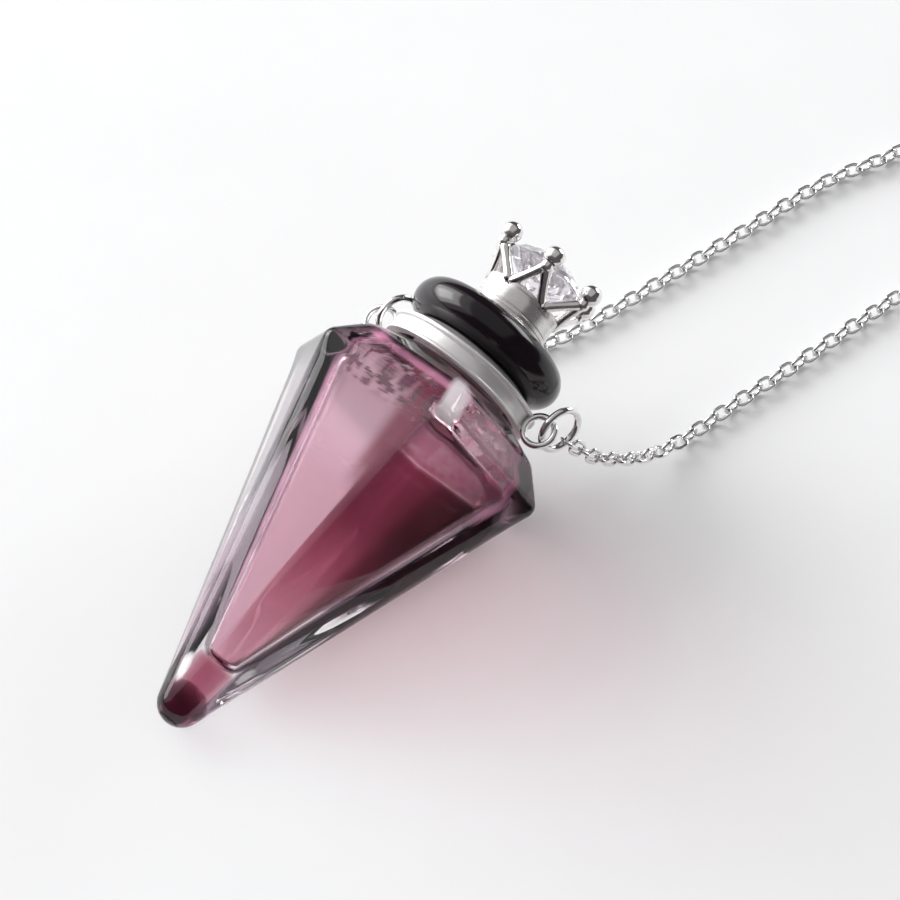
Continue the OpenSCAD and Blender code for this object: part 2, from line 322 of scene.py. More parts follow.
FLAT_DOWN = -0.93
LEANS_DOWN = -0.25
FACES_BACK = 0.6
SHADE_ALONG = (
    (0.04, (0.35, 0.2, 0.26)), (0.24, (0.95, 0.85, 0.86)), (0.4, (0.8, 0.52, 0.57)),
    (0.56, (0.56, 0.2, 0.29)), (0.69, (0.3, 0.06, 0.12)), (0.86, (0.36, 0.08, 0.15)),
    (0.95, (0.6, 0.36, 0.42)))
SHADE_ACROSS = (
    (0.03, (1, 1, 1)), (0.46, (0.9, 0.9, 0.9)), (0.56, (0.42, 0.32, 0.34)),
    (0.7, (0.26, 0.18, 0.2)), (0.9, (0.14, 0.12, 0.13)))


def underside_shade(tree, shade):
    """Shade of the light that comes down through the facet that the vial lies on.

    It is rose and dim under the wide end, paler towards the tip, and nearly gone at the side
    that faces away from the window."""
    v = vial()
    place = node(tree, "ShaderNodeNewGeometry")
    normal = node(tree, "ShaderNodeSeparateXYZ")
    tree.links.new(place.outputs["True Normal"], normal.inputs[0])
    flat = math_node(tree, "LESS_THAN", normal.outputs["Z"], FLAT_DOWN)
    back = math_node(tree, "GREATER_THAN", normal.outputs["Y"], FACES_BACK)
    leaning = math_node(tree, "LESS_THAN", normal.outputs["Z"], LEANS_DOWN)
    below = math_node(tree, "MAXIMUM", flat, math_node(tree, "MULTIPLY", leaning, back))
    where = node(tree, "ShaderNodeSeparateXYZ")
    tree.links.new(place.outputs["Position"], where.inputs[0])
    from_tip = math_node(tree, "DIVIDE", math_node(tree, "ADD", where.outputs["Y"], v.cone_len),
                         v.cone_len)
    half_facet = v.girdle_flats / 2 * math.tan(math.radians(30))
    half_width = math_node(tree, "MULTIPLY", from_tip, half_facet)
    across = math_node(tree, "DIVIDE", where.outputs["X"], half_width)
    along = ramp_node(tree, math_node(tree, "MULTIPLY", from_tip, 0.8), SHADE_ALONG)
    share = math_node(tree, "ADD", math_node(tree, "MULTIPLY", across, 0.5), 0.5)
    dim = ramp_node(tree, share, SHADE_ACROSS)
    return mix_colours(tree, below, shade, mix_colours(tree, 1.0, along, dim, "MULTIPLY"))


def silver_material(name="Polished silver", tone=(0.87, 0.865, 0.86), scale=900.0, smooth=0.03,
                    dull=0.14, relief=0.06, metallic=1):
    """Worn silver, made once for each name."""
    if name in bpy.data.materials:
        return bpy.data.materials[name]
    made, tree, shader, _ = material(name)
    shader.inputs["Base Color"].default_value = (*tone, 1)
    shader.inputs["Metallic"].default_value = metallic
    wear_shader(tree, shader, scale, smooth, dull, relief)
    return made


def dress(name, made, crease=30, edge=0):
    """Gives a CAD node its material, smooth shading and softened edges."""
    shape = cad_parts[name]
    shape.data.materials.clear()
    shape.data.materials.append(made)
    for face in shape.data.polygons:
        face.material_index = 0
    if crease:
        shape.data.shade_smooth()
        shape.data.set_sharp_from_angle(angle=math.radians(crease))
    if edge:
        bevel = shape.modifiers.new("Soft edges", "BEVEL")
        bevel.width = edge
        bevel.segments = 2
        bevel.limit_method = "ANGLE"
        bevel.angle_limit = math.radians(35)
        bevel.harden_normals = True


# The vial

CORNER_STEPS = 8
FLAT_STEPS = 6
TIP_ARC = (-88, -76, -64, -52, -40, -28)
FLOOR_ARC = (-88, -70, -50, -30, -10)
CONE_STEPS = 14
CONE_END = -1.4 * MM
RIDGE_ROUNDING = 2.3 * MM
GIRDLE_ROUNDING = 0.9 * MM
CREST_R = 6.6 * MM
NECK_R = 6.1 * MM
NECK_RISE = 1.38 * MM
HOLLOW_CORNER = 2 * MM
MOUTH_R = 3.8 * MM
ROUGH_DEPTH = 0.2 * MM
ROUGH_SCALE = 1.3 * MM
ROUGH_FROM = 0.2 * MM
ROUGH_TO = 1.6 * MM


def hex_ring(height, apothem, rounding, flat_steps=FLAT_STEPS):
    """Points round a six-sided section with rounded corners, in the pendant's own axes."""
    r = min(rounding, apothem * 0.999)
    reach = (apothem - r) / math.cos(math.radians(30))

    def on_corner(side, degrees):
        centre = math.radians(60 * side)
        turn = centre + math.radians(degrees)
        return Vector((reach * math.cos(centre) + r * math.cos(turn),
                       reach * math.sin(centre) + r * math.sin(turn), height))

    points = []
    for side in range(6):
        points += [on_corner(side, 60 * step / CORNER_STEPS - 30) for step in range(CORNER_STEPS + 1)]
        start = points[-1]
        end = on_corner(side + 1, -30)
        for step in range(1, flat_steps + 1):
            share = step / (flat_steps + 1)
            points.append(start.lerp(end, 0.5 - 0.5 * math.cos(math.pi * share)))
    return points


def tube_faces(rings, count, closed=False):
    """Faces between rings of equal counts; closed joins the last ring to the first."""
    faces = []
    for k in range(rings if closed else rings - 1):
        low = k * count
        high = (k + 1) % rings * count
        for i in range(count):
            j = (i + 1) % count
            faces.append([low + i, low + j, high + j, high + i])
    return faces


def capped_faces(rings, count):
    """Faces between rings of equal counts, and both ends."""
    ends = [list(range(count))[::-1], [(rings - 1) * count + i for i in range(count)]]
    return ends + tube_faces(rings, count)


def loft(rings):
    """Points and faces of a closed skin through rings of equal counts."""
    return [p for ring in rings for p in ring], capped_faces(len(rings), len(rings[0]))


def bend(a, b, c, reach, steps=5):
    """Rows that round the corner b between a and c."""
    a, b, c = (Vector(x) for x in (a, b, c))
    p = b + (a - b).normalized() * reach
    q = b + (c - b).normalized() * reach
    shares = [i / steps for i in range(steps + 1)]
    return [tuple((1 - t) ** 2 * p + 2 * t * (1 - t) * b + t * t * q) for t in shares]


def between(a, b, steps):
    """Rows between a and b, without either end."""
    return [tuple(Vector(a).lerp(Vector(b), i / steps)) for i in range(1, steps)]


def finer(rows, steps):
    """The same rows with more rows between them."""
    return [row for a, b in zip(rows, rows[1:]) for row in [a] + between(a, b, steps)] + rows[-1:]


def outer_rows():
    """Rows of the outer skin: height, apothem, rounding of the corners."""
    v = vial()
    tilt = facet_tilt()
    tip_rise = v.cone_len - v.tip_r
    apex = -tip_rise - v.tip_r / math.sin(tilt)
    tip_round = v.tip_r * math.cos(tilt)
    collar_z = v.bevel_h + v.crest_h
    foot = -tip_rise - v.tip_r * math.sin(tilt)
    rows = []
    for a in map(math.radians, TIP_ARC):
        rows.append((-tip_rise + v.tip_r * math.sin(a), v.tip_r * math.cos(a), v.tip_r * math.cos(a)))
    for step in range(CONE_STEPS):
        share = step / CONE_STEPS
        z = foot * (1 - share)
        rounding = RIDGE_ROUNDING + (tip_round - RIDGE_ROUNDING) * (1 - share) ** 2
        if z < CONE_END:
            rows.append((z, (z - apex) * math.tan(tilt), rounding))
    girdle = (0, v.girdle_flats / 2, GIRDLE_ROUNDING)
    shoulder = (v.bevel_h, v.shoulder_flats / 2, GIRDLE_ROUNDING)
    soft_shoulder = (*shoulder[:2], GIRDLE_ROUNDING * 1.6)
    crest_z = collar_z - 0.3 * MM
    crest = (crest_z, CREST_R, CREST_R)
    rows += bend((foot, tip_round, GIRDLE_ROUNDING), girdle, shoulder, 0.7 * MM)
    rows += bend(girdle, soft_shoulder, crest, 0.6 * MM)
    rows += [crest, (crest_z, NECK_R, NECK_R), (collar_z + NECK_RISE, NECK_R, NECK_R)]
    return rows


def hollow_rows(out=0.0):
    """Rows of the hollow's skin, moved into the glass by out."""
    v = vial()
    tilt = facet_tilt()
    tip_rise = v.cone_len - v.tip_r
    apex = -tip_rise - v.tip_r / math.sin(tilt)
    side_wall = v.wall / math.cos(tilt) - out / math.cos(tilt)

    def side(z):
        return (z - apex) * math.tan(tilt) - side_wall

    floor_z = v.tip_solid - v.cone_len
    dome = max(side(floor_z + MM), 0.8 * MM)
    corner = HOLLOW_CORNER + out
    rows = []
    for a in map(math.radians, FLOOR_ARC):
        rows.append((floor_z - out + dome * (1 + math.sin(a)), dome * math.cos(a), dome * math.cos(a)))
    low = floor_z + dome
    knee = (-0.3 * MM, v.girdle_flats / 2 - side_wall, corner)
    for step in range(1, CONE_STEPS):
        share = step / CONE_STEPS
        z = low + (knee[0] - low) * share
        rows.append((z, side(z), corner + (dome - corner) * max(0, 1 - 4 * share)))
    collar_z = v.bevel_h + v.crest_h
    shoulder = (v.bevel_h - v.wall * 0.45 + out * 0.6,
                v.shoulder_flats / 2 - v.wall * 0.95 + out * 0.6, corner)
    mouth = (collar_z - v.wall * 0.5 + out, MOUTH_R, MOUTH_R)
    rows += bend(rows[-1], knee, shoulder, 1.1 * MM)
    rows += bend(knee, shoulder, mouth, 0.7 * MM)
    rows += between(rows[-1], mouth, 4)
    rows.append(mouth)
    return rows


def clamp(value, low=0, high=1):
    """The value, kept from low to high."""
    return min(max(value, low), high)


def ripple(p, size, octaves=3, shift=(0, 0, 0)):
    """Uneven noise with waves as wide as size."""
    return noise.fractal(p / size + Vector(shift), 1.0, 2.0, octaves)


def roughen(points):
    """Moves points of the hollow's shoulder in and out, as blown glass is where it was closed."""
    for p in points:
        share = clamp((p.z - ROUGH_FROM) / (ROUGH_TO - ROUGH_FROM))
        if share:
            p.xy += p.xy.normalized() * ripple(p, ROUGH_SCALE) * ROUGH_DEPTH * share
            p.z += noise.noise(p / ROUGH_SCALE + Vector((5, 1, 3))) * ROUGH_DEPTH * share


def rough_skin(out, fine=1):
    """The hollow's wavy skin, moved into the glass by out, in steps that get finer with fine."""
    points, faces = loft([hex_ring(*row, FLAT_STEPS * fine) for row in finer(hollow_rows(out), fine)])
    roughen(points)
    return points, faces


# Tints and hazes inside the glass, with painted shade, painted reflection and painted highlights among
# them; heights in millimetres, turns in degrees

TOP_RIDGE = -60
LEFT_RIDGE = -120
# Painted shade on the hollow's faces that mirror the surface
SIDE_SHADE_TINT = (0.63, 0.58, 0.61)
BLUSH_TINT = (0.86, 0.55, 0.66)
# Painted shade over the shoulder's thick glass and the girdle's corners
RIM_SHADE_TINT = (0.3, 0.26, 0.285)
DRIP_COLOUR = (0.15, 0.055, 0.09)
BELT_COLOUR = (0.5, 0.28, 0.35)
# Pale pink painted light, and darker rose, for the patch on the hollow's upper face
PINK_PATCH = (0.73, 0.48, 0.57)
ROSE_PATCH = (0.18, 0.02, 0.055)
VEIN_COLOUR = (1, 0.8, 0.87)
LINE_COLOUR = (0.95, 0.42, 0.64)
# Painted highlight on the shoulder's top ridge
RIDGE_HIGHLIGHT = (1, 0.96, 0.975)
# Painted glints and flare just under the outer skin
GLINT_COLOUR = (1, 0.98, 0.98)
# Painted reflection down the vial's left side, grey turning mauve towards the tip
REFLECTED_GREY = (0.42, 0.41, 0.45)
REFLECTED_MAUVE = (0.3, 0.2, 0.27)
WHITE = (1, 1, 1)
# Depth and top of the skin that carries the painted reflection, sheen, flare and glints
REFLECTION_DEPTH = 0.25 * MM
REFLECTION_TOP = 0.2 * MM
CORES = (
    ("rose_core", (0.68, 0.36, 0.45), (
        (-31.1, 0.3), (-30.9, 0.75), (-30.3, 1.2), (-29.3, 1.45), (-28, 1.3), (-26.6, 1.25),
        (-25.6, 1.3), (-24.98, 1.2), (-24.92, 0.3))),
    ("dusk_core", (0.3, 0.14, 0.22), (
        (-31.4, 0.4), (-31.25, 1.0), (-30.8, 1.5), (-30.1, 1.8), (-29.3, 1.86), (-28.5, 1.5),
        (-27.8, 0.9), (-27.5, 0.2))))


def ease(value, low, high):
    """Rises smoothly from 0 at low to 1 at high, or falls where high is below low."""
    share = clamp((value - low) / (high - low))
    return share * share * (3 - 2 * share)


def within(value, start, full, last, end):
    """Rises from 0 at start to 1 at full, then falls from last to 0 at end."""
    return ease(value, start, full) * ease(value, end, last)


def blend(first, second, share):
    """A colour between two colours."""
    return [a + (b - a) * share for a, b in zip(first, second)]


def turn_of(p):
    """Where a point lies round the pendant's axis, in degrees."""
    return math.degrees(math.atan2(p.y, p.x))


def side_shade_share(p):
    """Painted shade: 1 on the faces of the hollow that mirror the surface, more on their lower right,
    else 0.
    """
    turn = turn_of(p) % 180
    low = 0.6 * ease(p.z, -9 * MM, -15 * MM) * float(abs(turn_of(p)) < 90)
    return ease(p.z, -0.4 * MM, -1.2 * MM) * float(turn < 64 or turn > 176) * (1 + low)


def dripping(p):
    """1 in the drips along the knee of the hollow's upper face, 0 beyond them."""
    drip = clamp(0.32 + 2.2 * ripple(p, 0.7 * MM, shift=(3, 0, 7)))
    return drip * ease(abs(p.z + 0.1 * MM), 1.9 * MM, 0.7 * MM)


def shoulder_share(p):
    """Blotches over the hollow's shoulder, fainter on its left, and the drips below it."""
    blotch = clamp(0.65 + 0.9 * ripple(p, 0.9 * MM), 0.15, 0.9)
    blotch *= 0.6 + 0.4 * ease(turn_of(p), -108, -82)
    return ease(p.z, -0.8 * MM, 0.4 * MM) * blotch + 0.3 * dripping(p)


def rim_shade_share(p):
    """Painted shade: 1 in the thick glass of the shoulder, at its top and at the girdle's right and left
    corners.
    """
    turn = turn_of(p)
    height = p.z / MM
    right = within(turn, -26, -4, 55, 80)
    left = ease(abs(turn), 112, 128)
    sides = ease(abs(turn - TOP_RIDGE), 85, 115)
    crest = ease(height, 2.5, 3.4) + 0.6 * ease(height, 0.5, 2) * sides
    belt = ease(height, -2.6, -0.6) * max(right, left)
    return clamp(max(crest, belt))


def outline_haze(p):
    """What shows on the hollow: its pink outline, the lit top of its upper face, the drips on
    it, the pale veins above it and the mauve belt at the right."""
    turn = turn_of(p)
    height = p.z / MM
    facing = ease(abs(turn - TOP_RIDGE), 95, 70)
    below_top = float(height < 1.7)
    top = within(height, 1.2, 1.6, 1.9, 2.3) * facing
    left = 0.55 * ease(abs(turn - LEFT_RIDGE), 6, 2) * ease(height, -25, -18) * below_top
    right = ease(abs(turn), 6, 2) * ease(height, -4.5, -1.5) * below_top
    wave = clamp(0.75 + 0.8 * noise.noise(p / (2.2 * MM)), 0.2)
    line = 0.6 * wave * max(top, left, right)
    vein = 0.4 * ease(abs(ripple(p, 1.1 * MM, 2)), 0.07, 0.02)
    vein *= ease(turn, -66, -74) * facing * within(height, 0.3, 0.7, 1.4, 1.9)
    drip = dripping(p)
    # The patch is pale pink painted light over the top of the upper face, turning to darker rose towards
    # the top ridge
    ragged = height + 0.8 * ripple(p, 1.1 * MM)
    upper = ease(height, -9.5, -5) * ease(ragged, 1, 0.2) * (1 - 0.75 * drip)
    rose = ease(turn, -84, -73)
    patch = (0.6 + 0.3 * rose) * within(turn, -123, -108, -66, -58) * upper
    belt = 0.5 * within(turn, -55, -48, -10, -3) * within(height, -0.8, 0.2, 1.7, 2.2)
    belt *= 1 - 0.6 * drip
    drip *= 0.85 * within(turn, -124, -112, -68, -55)
    if drip > max(line, patch):
        return DRIP_COLOUR, drip
    if belt > max(line, patch):
        return BELT_COLOUR, belt
    if patch >= max(line, vein):
        return blend(PINK_PATCH, ROSE_PATCH, rose), patch
    if vein > line:
        return VEIN_COLOUR, vein
    return LINE_COLOUR, line


def ridge_highlight(p):
    """Painted highlight on the ridge between the two facets of the shoulder that face up."""
    near = ease(abs(turn_of(p) - TOP_RIDGE + 0.5), 5, 2.4)
    return RIDGE_HIGHLIGHT, 0.9 * near * within(p.z / MM, -1, -0.2, 2.6, 3.7)


def spot(p, height, turn, tall, wide):
    """1 at a place on the vial's skin and 0 beyond an oval round it; angles in degrees."""
    away = math.hypot((p.z / MM - height) / tall, (turn_of(p) - turn) / wide)
    return ease(away, 1, 0.55)


def reflection_and_glints(p):
    """What shows just under the outer skin: a painted reflection down the left side with a pale
    painted sheen, a painted flare and two painted glints."""
    height = p.z / MM
    turn = turn_of(p)
    flare = spot(p, -15.4, -137, 3, 7) * clamp(0.75 + 1.5 * noise.noise(p / (0.7 * MM)))
    glint = max(spot(p, -27.3, -107, 1.5, 12), spot(p, -24.9, -17, 1.2, 8), flare)
    if glint > 0.05:
        return GLINT_COLOUR, 0.85 * glint
    streak = noise.noise(Vector((turn / 7, height / 11, 0)))
    low = ease(height, -11, -20)
    edge = -119 + 13 * ease(height, -6, -17)
    side = within(turn, -170, -160, edge - 8, edge) * within(height, -27, -23, -3, -0.5)
    sheen = spot(p, -8, -160 - 0.6 * (height + 8), 7.5, 7)
    # The painted reflection turns white where the painted sheen lies
    reflected_tone = blend(blend(REFLECTED_GREY, REFLECTED_MAUVE, low), WHITE, sheen)
    return reflected_tone, (0.42 + 0.2 * low) * max(side, sheen) * (0.8 + 0.5 * streak)


def everywhere(p):
    """The full share at any point."""
    return 1


def nowhere(p):
    """No share at any point."""
    return 0


def no_haze(p):
    """No haze at any point."""
    return WHITE, 0


def tint_material(core=False):
    """A layer whose tinting and painted shade, and whose hazes and painted light, come from the mesh; a
    core also fades at its rim.
    """
    name = "Tinted core" if core else "Tinted layer"
    if name in bpy.data.materials:
        return bpy.data.materials[name]
    made, tree, shader, output = material(name)
    tint_and_shade = node(tree, "ShaderNodeAttribute", attribute_name="tint_and_shade")
    haze_and_light = node(tree, "ShaderNodeAttribute", attribute_name="haze_and_light")
    tree.links.new(haze_and_light.outputs["Color"], shader.inputs["Base Color"])
    shader.inputs["Roughness"].default_value = 0.6
    passing = node(tree, "ShaderNodeBsdfTransparent")
    tree.links.new(tint_and_shade.outputs["Color"], passing.inputs["Color"])
    if core:
        facing = node(tree, "ShaderNodeLayerWeight", {"Blend": 0.5})
        tone = mix_colours(tree, facing.outputs["Facing"], tint_and_shade.outputs["Color"], WHITE)
        tree.links.new(tone, passing.inputs["Color"])
    mix_shaders(tree, haze_and_light.outputs["Alpha"], passing, shader, output)
    return made


def tinted_skin(name, points, faces, share_of, tint_and_shade, haze_and_light_of=no_haze, core=False):
    """A layer inside the glass, tinted and hazy where the two functions give more than nothing;
    the tinting carries rose glass and painted shade, the hazes carry marks in the glass and painted
    light.
    """
    shares = [share_of(p) for p in points]
    hazes_and_lights = [haze_and_light_of(p) for p in points]
    place = axis_frame()
    mesh = mesh_of(name, [place @ p for p in points],
                   [face for face in faces if max(shares[i] + hazes_and_lights[i][1] for i in face) > 0.01])
    tints = mesh.color_attributes.new("tint_and_shade", "FLOAT_COLOR", "POINT")
    for entry, share in zip(tints.data, shares):
        entry.color = (*(1 + (c - 1) * share for c in tint_and_shade), 1)
    glows = mesh.color_attributes.new("haze_and_light", "FLOAT_COLOR", "POINT")
    for entry, (tone, amount) in zip(glows.data, hazes_and_lights):
        entry.color = (*tone, amount)
    made = piece(name, mesh, tint_material(core), "bottle", "rose_glass")
    made.visible_shadow = False
    made.visible_diffuse = False


def glass_skin(name, points, faces, finish, *nodes):
    """A skin of the vial whose facets look flat."""
    place = axis_frame()
    mesh = mesh_of(name, [place @ p for p in points], faces)
    made = piece(name, mesh, finish, "bottle", "rose_glass", *nodes)
    made.modifiers.new("Facets", "WEIGHTED_NORMAL").weight = 100


class PENDANT_OT_vial(bpy.types.Operator):
    """Makes the glass vial with its hollow and the rose layer of glass round it"""

    bl_idname = "pendant.vial"
    bl_label = "Glass vial"

    def execute(self, context):
        v = vial()
        points, faces = loft([hex_ring(*row) for row in outer_rows()])
        hollow, inner_faces = rough_skin(0, 2)
        start = len(points)
        faces += [[start + i for i in face[::-1]] for face in inner_faces]
        glass = glass_material("Clear glass", v.clear_colour, 1.5, shade=(0.95, 0.93, 0.94),
                               lying=True)
        glass_skin("vial_glass", points + hollow, faces, glass, "bottle")
        rose = glass_material("Rose glass", v.rose_colour, 1.0, shade=v.rose_shade)
        glass_skin("rose_layer", *rough_skin(-0.05 * MM, 2), rose)
        # Painted shade on the hollow's sides and the shoulder's rim with a painted highlight on its
        # ridge, and the shoulder's blotches and marks with painted light among them
        for name, out, fine, share_of, tint_and_shade, haze_and_light_of in (
                ("side_shade_skin", 0.12 * MM, 2, side_shade_share, SIDE_SHADE_TINT, no_haze),
                ("blush_skin", 0.2 * MM, 4, shoulder_share, BLUSH_TINT, outline_haze),
                ("rim_shade_highlight_skin", v.wall - 0.5 * MM, 2, rim_shade_share, RIM_SHADE_TINT, ridge_highlight)):
            tinted_skin(name, *rough_skin(out, fine), share_of, tint_and_shade, haze_and_light_of)
        # Painted reflection, sheen, flare and glints just under the outer skin
        reflection_layer = loft([hex_ring(z * 0.992, max(apothem - REFLECTION_DEPTH, 0.05 * MM), rounding, FLAT_STEPS * 4)
                      for z, apothem, rounding in finer(outer_rows(), 6) if z < REFLECTION_TOP])
        tinted_skin("reflection_skin", *reflection_layer, nowhere, WHITE, reflection_and_glints)
        for name, tint_and_shade, rows in CORES:
            core = loft([hex_ring(z * MM, r * MM, r * MM) for z, r in rows])
            tinted_skin(name, *core, everywhere, tint_and_shade, core=True)
        return {"FINISHED"}


# Silver

TURNED_SIDES = 120
BAND_PROFILE = (
    (6.2, 5.3), (6.2, 4.7), (7.1, 4.7), (7.1, 4.88), (7.0, 5.0), (6.94, 5.5), (7.0, 6), (7.26, 6.08),
    (7.3, 6.36), (7.1, 6.42), (5.7, 7.06), (5.5, 7.15), (3.5, 7.15), (3.5, 6.2), (6.1, 6.2),
    (6.2, 5.3))
EAR_PLACE = (8.54, 5.55)
CAP_FOOT = 11.0
CAP_PROFILE = (
    (1.2, -3), (1.2, 0), (3.9, 0), (3.9, 0.28), (3.82, 0.4), (3.7, 0.44), (3.68, 0.6), (3.6, 0.64),
    (3.6, 0.7), (3.66, 0.74), (3.64, 0.98), (3.55, 1.03), (3.55, 1.1), (3.6, 1.14), (3.48, 2.2),
    (3.54, 2.5), (3.6, 2.65), (3.6, 2.9), (3.4, 3), (2.8, 2.95), (2.4, 2.3), (1.9, 2), (0.02, 1.95))
CROWN_TURN = 50
BAR_FOOT = (3.2, 13.6)
BAR_RADII = (0.46, 0.45, 0.42, 0.4, 0.4, 0.43, 0.46)
KNOB_PLACE = (4.78, 16.15)
KNOB_R = 0.56
BALL_PLACE = (4.78, 17.15)
BALL_R = 0.92


def turned(rows, closed=False):
    """Points and faces of a skin turned about the axis through rows of radius and height."""
    points = [Vector((r * math.cos(turn), r * math.sin(turn), z)) for r, z in rows
              for turn in (math.tau * i / TURNED_SIDES for i in range(TURNED_SIDES))]
    return points, tube_faces(len(rows), TURNED_SIDES, closed)


def rounded(rows, reach=0.1):
    """Rows of radius and height, in millimetres, whose corners are rounded; the ends stay."""
    corners = [Vector((r, z, 0)) * MM for r, z in rows]
    made = [corners[0].to_2d()]
    for a, b, c in zip(corners, corners[1:], corners[2:]):
        near = min(reach * MM, (a - b).length * 0.45, (c - b).length * 0.45)
        made += [Vector(p).to_2d() for p in bend(a, b, c, near, 4)]
    return made + [corners[-1].to_2d()]


def swept(path, radii, sides=14):
    """Points and faces of a round bar along a path, with closed ends."""
    ahead = (path[-1] - path[0]).normalized()
    side = ahead.orthogonal().normalized()
    top = ahead.cross(side)
    points = [p + r * (math.cos(turn) * side + math.sin(turn) * top) for p, r in zip(path, radii)
              for turn in (math.tau * i / sides for i in range(sides))]
    return points, capped_faces(len(path), sides)


def ball(centre, radius):
    """Points and faces of a sphere, swept from pole to pole."""
    turns = [math.radians(a) for a in range(-88, 89, 11)]
    path = [centre + Vector((0, 0, radius * math.sin(a))) for a in turns]
    return swept(path, [radius * math.cos(a) for a in turns], 24)


def wire_faces(rings, count, start=0):
    """Faces of a closed ring of wire whose points begin at start."""
    faces = []
    for i in range(rings):
        low = start + i * count
        high = start + (i + 1) % rings * count
        for k in range(count):
            j = (k + 1) % count
            faces.append([low + k, high + k, high + j, low + j])
    return faces


def loop(centre, middle_r, wire_r, sides=56, wire_sides=14):
    """Points and faces of a ring of wire that stands along the pendant's axis."""
    points = []
    for i in range(sides):
        turn = math.tau * i / sides
        out = Vector((math.cos(turn), 0, math.sin(turn)))
        points += [centre + out * (middle_r + wire_r * math.cos(a)) + Vector((0, wire_r * math.sin(a), 0))
                   for a in (math.tau * k / wire_sides for k in range(wire_sides))]
    return points, wire_faces(sides, wire_sides)


def joined(name, parts):
    """One mesh in the row frame from parts in the pendant's own axes."""
    place = axis_frame()
    points = []
    faces = []
    for some, their_faces in parts:
        faces += [[len(points) + i for i in face] for face in their_faces]
        points += [place @ p for p in some]
    return mesh_of(name, points, faces)


def second_finish(made, finish, faces):
    """Gives some faces of a piece another finish."""
    made.data.materials.append(finish)
    for face in faces:
        face.material_index = 1


def at(turn, r, z):
    """A point by its turn, and its radius and height in millimetres."""
    return Vector((math.cos(turn), math.sin(turn), 0)) * r * MM + Vector((0, 0, z * MM))


def crown_parts():
    """The crown's tapered bars, and the knob and ball of each of its six points."""
    parts = []
    for point in range(6):
        turn = math.radians(CROWN_TURN + 60 * point)
        knob = at(turn, *KNOB_PLACE)
        for away in (-30, 30):
            foot = at(turn + math.radians(away), *BAR_FOOT)
            parts.append(swept([foot.lerp(knob, k / 6) for k in range(7)], [r * MM for r in BAR_RADII]))
        parts += [ball(knob, KNOB_R * MM), ball(at(turn, *BALL_PLACE), BALL_R * MM)]
    return parts


class PENDANT_OT_metal(bpy.types.Operator):
    """Makes the collar, the cap and the crown, and polishes the jump rings and the clasp"""

    bl_idname = "pendant.metal"
    bl_label = "Silver pieces"

    def execute(self, context):
        for name in ("jump_ring_right", "jump_ring_left"):
            dress(name, silver_material())
        dress("clasp", silver_material(), edge=0.12 * MM)
        satin = silver_material("Satin silver", (0.79, 0.775, 0.77), smooth=0.3, dull=0.42,
                                relief=0.05, metallic=0.5)
        band = turned(rounded(BAND_PROFILE), closed=True)
        ear_x, ear_z = EAR_PLACE
        ears = [loop(Vector((side * ear_x * MM, 0, ear_z * MM)), 1.3 * MM, 0.28 * MM) for side in (-1, 1)]
        made = piece("band", joined("band", [band] + ears), satin, "bottle", "silver", "collar")
        second_finish(made, silver_material(), made.data.polygons[len(band[1]):])
        cap = turned(rounded([(r, CAP_FOOT + z) for r, z in CAP_PROFILE]))
        cast = silver_material("Cast silver", (0.88, 0.86, 0.85), smooth=0.1, dull=0.3, relief=0.12)
        brushed = silver_material("Brushed silver", (0.77, 0.745, 0.735), smooth=0.22, dull=0.36,
                                  relief=0.04, metallic=0.8)
        mesh = joined("crown", [cap] + crown_parts())
        made = piece("crown", mesh, cast, "stopper", "silver", "crown_cap")
        second_finish(made, brushed, made.data.polygons[:len(cap[1])])
        return {"FINISHED"}


class PENDANT_OT_bead(bpy.types.Operator):
    """Gives the dark bead and the plug their materials"""

    bl_idname = "pendant.bead"
    bl_label = "Bead and plug"

    def execute(self, context):
        made, tree, shader, _ = material("Dark bead")
        shader.inputs["IOR"].default_value = 1.48
        shader.inputs["Base Color"].default_value = (0.006, 0.0025, 0.005, 1)
        wear_shader(tree, shader, 500.0, 0.13, 0.22, 0.02)
        dress("disc_bead", made)
        made, tree, shader, _ = material("White plug")
        mottle(tree, shader, (0.76, 0.76, 0.73), (0.68, 0.675, 0.64), 700.0)
        wear_shader(tree, shader, 1500.0, 0.35, 0.6, 0.25)
        dress("plug", made)
        return {"FINISHED"}


class PENDANT_OT_stone(bpy.types.Operator):
    """Gives the cut stone its material"""

    bl_idname = "pendant.stone"
    bl_label = "Cut stone"

    def execute(self, context):
        stone = glass_material("Clear stone", (0.95, 0.93, 0.98), 1.75, 0.02, clarity=0.88)
        dress("crown_stone", stone, crease=0)
        return {"FINISHED"}


# Chain

